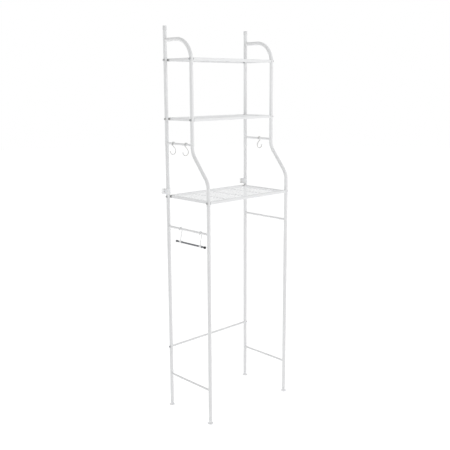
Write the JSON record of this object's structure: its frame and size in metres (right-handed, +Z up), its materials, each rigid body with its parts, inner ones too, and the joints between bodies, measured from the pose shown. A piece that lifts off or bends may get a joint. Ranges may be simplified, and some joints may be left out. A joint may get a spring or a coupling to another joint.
{
  "type": "over-the-toilet storage rack",
  "caption": "Free-standing white tube rack that straddles a toilet, with wire shelves above, S-hooks on the side rungs, a hanging paper-roll bar and wall clips.",
  "frame": {"origin": "on the floor, at the middle of the rack's footprint", "axes": "+Z up, +X to the right as seen from the front, +Y towards the wall behind, so the front faces -Y"},
  "size_m": [0.528, 0.2894, 1.7001],
  "materials": {
    "frame_paint": "white satin powder coat on steel tube",
    "shelf_paint": "white satin powder coat on steel rails and wire",
    "coated_wire": "white coated steel wire",
    "plated_wire": "satin nickel-plated steel wire",
    "bolt_steel": "zinc-plated steel",
    "lug_steel": "zinc-plated steel",
    "roller_steel": "dark satin steel",
    "black_plastic": "black moulded plastic",
    "cap_plastic": "white moulded plastic",
    "foot_plastic": "milky white moulded plastic",
    "clip_plastic": "milky white moulded plastic"
  },
  "bodies": {
    "frame": {"bottom_shelf_cross_wires": "shelf_paint", "bottom_shelf_front_rail": "shelf_paint", "bottom_shelf_left_rail": "shelf_paint", "bottom_shelf_rear_rail": "shelf_paint", "bottom_shelf_right_rail": "shelf_paint", "bottom_shelf_wires": "shelf_paint", "foot_plugs": "cap_plastic", "frame_bolts": "bolt_steel", "front_rail_inserts": "bolt_steel", "left_front_leg": "frame_paint", "left_front_post": "frame_paint", "left_lower_rung": "frame_paint", "left_mid_rung": "frame_paint", "left_post_cap": "cap_plastic", "left_rear_leg": "frame_paint", "left_rear_post": "frame_paint", "left_upper_rung": "frame_paint", "left_wall_clip": "clip_plastic", "middle_shelf_cross_wires": "shelf_paint", "middle_shelf_front_rail": "shelf_paint", "middle_shelf_left_rail": "shelf_paint", "middle_shelf_rear_rail": "shelf_paint", "middle_shelf_right_rail": "shelf_paint", "middle_shelf_wires": "shelf_paint", "rear_corner_lugs": "lug_steel", "rear_stretcher": "frame_paint", "right_front_leg": "frame_paint", "right_front_post": "frame_paint", "right_lower_rung": "frame_paint", "right_mid_rung": "frame_paint", "right_post_cap": "cap_plastic", "right_rear_leg": "frame_paint", "right_rear_post": "frame_paint", "right_upper_rung": "frame_paint", "right_wall_clip": "clip_plastic", "stretcher_inserts": "bolt_steel", "top_shelf_cross_wires": "shelf_paint", "top_shelf_front_rail": "shelf_paint", "top_shelf_left_rail": "shelf_paint", "top_shelf_rear_rail": "shelf_paint", "top_shelf_right_rail": "shelf_paint", "top_shelf_wires": "shelf_paint"},
    "left_rear_s_hook": {"left_rear_s_hook": "plated_wire"},
    "left_front_s_hook": {"left_front_s_hook": "plated_wire"},
    "right_s_hook": {"right_s_hook": "plated_wire"},
    "roll_hangers": {"front_roll_hanger": "coated_wire", "rear_roll_hanger": "coated_wire"},
    "roller": {"roller_bar": "roller_steel", "roller_ball": "black_plastic", "roller_end_cap": "roller_steel"},
    "rear_left_foot": {"rear_left_foot_base": "foot_plastic", "rear_left_foot_stud": "bolt_steel"},
    "rear_right_foot": {"rear_right_foot_base": "foot_plastic", "rear_right_foot_stud": "bolt_steel"},
    "front_left_foot": {"front_left_foot_base": "foot_plastic", "front_left_foot_stud": "bolt_steel"},
    "front_right_foot": {"front_right_foot_base": "foot_plastic", "front_right_foot_stud": "bolt_steel"}
  },
  "joints": [
    {"name": "left_rear_hook_swing", "type": "hinge", "parent": "frame", "child": "left_rear_s_hook", "pos_m": [-0.24, 0.08725, 1.21111], "axis": [0, 1, 0], "range_deg": [-60, 60]},
    {"name": "left_front_hook_swing", "type": "hinge", "parent": "frame", "child": "left_front_s_hook", "pos_m": [-0.24, 0.00475, 1.21111], "axis": [0, 1, 0], "range_deg": [-60, 60]},
    {"name": "right_hook_swing", "type": "hinge", "parent": "frame", "child": "right_s_hook", "pos_m": [0.24, 0.03925, 1.21111], "axis": [0, -1, 0], "range_deg": [-60, 60]},
    {"name": "roll_holder_swing", "type": "hinge", "parent": "frame", "child": "roll_hangers", "pos_m": [-0.24, -0.00025, 0.846], "axis": [0, 1, 0], "range_deg": [-70, 70]},
    {"name": "roller_spin", "type": "hinge", "parent": "roll_hangers", "child": "roller", "pos_m": [-0.24014, -0.00025, 0.7875], "axis": [0, 1, 0], "continuous": true},
    {"name": "rear_left_foot_screw", "type": "slide", "parent": "frame", "child": "rear_left_foot", "axis": [0, 0, -1], "range_m": [0, 0.01]},
    {"name": "rear_right_foot_screw", "type": "slide", "parent": "frame", "child": "rear_right_foot", "axis": [0, 0, -1], "range_m": [0, 0.01]},
    {"name": "front_left_foot_screw", "type": "slide", "parent": "frame", "child": "front_left_foot", "axis": [0, 0, -1], "range_m": [0, 0.01]},
    {"name": "front_right_foot_screw", "type": "slide", "parent": "frame", "child": "front_right_foot", "axis": [0, 0, -1], "range_m": [0, 0.01]}
  ]
}
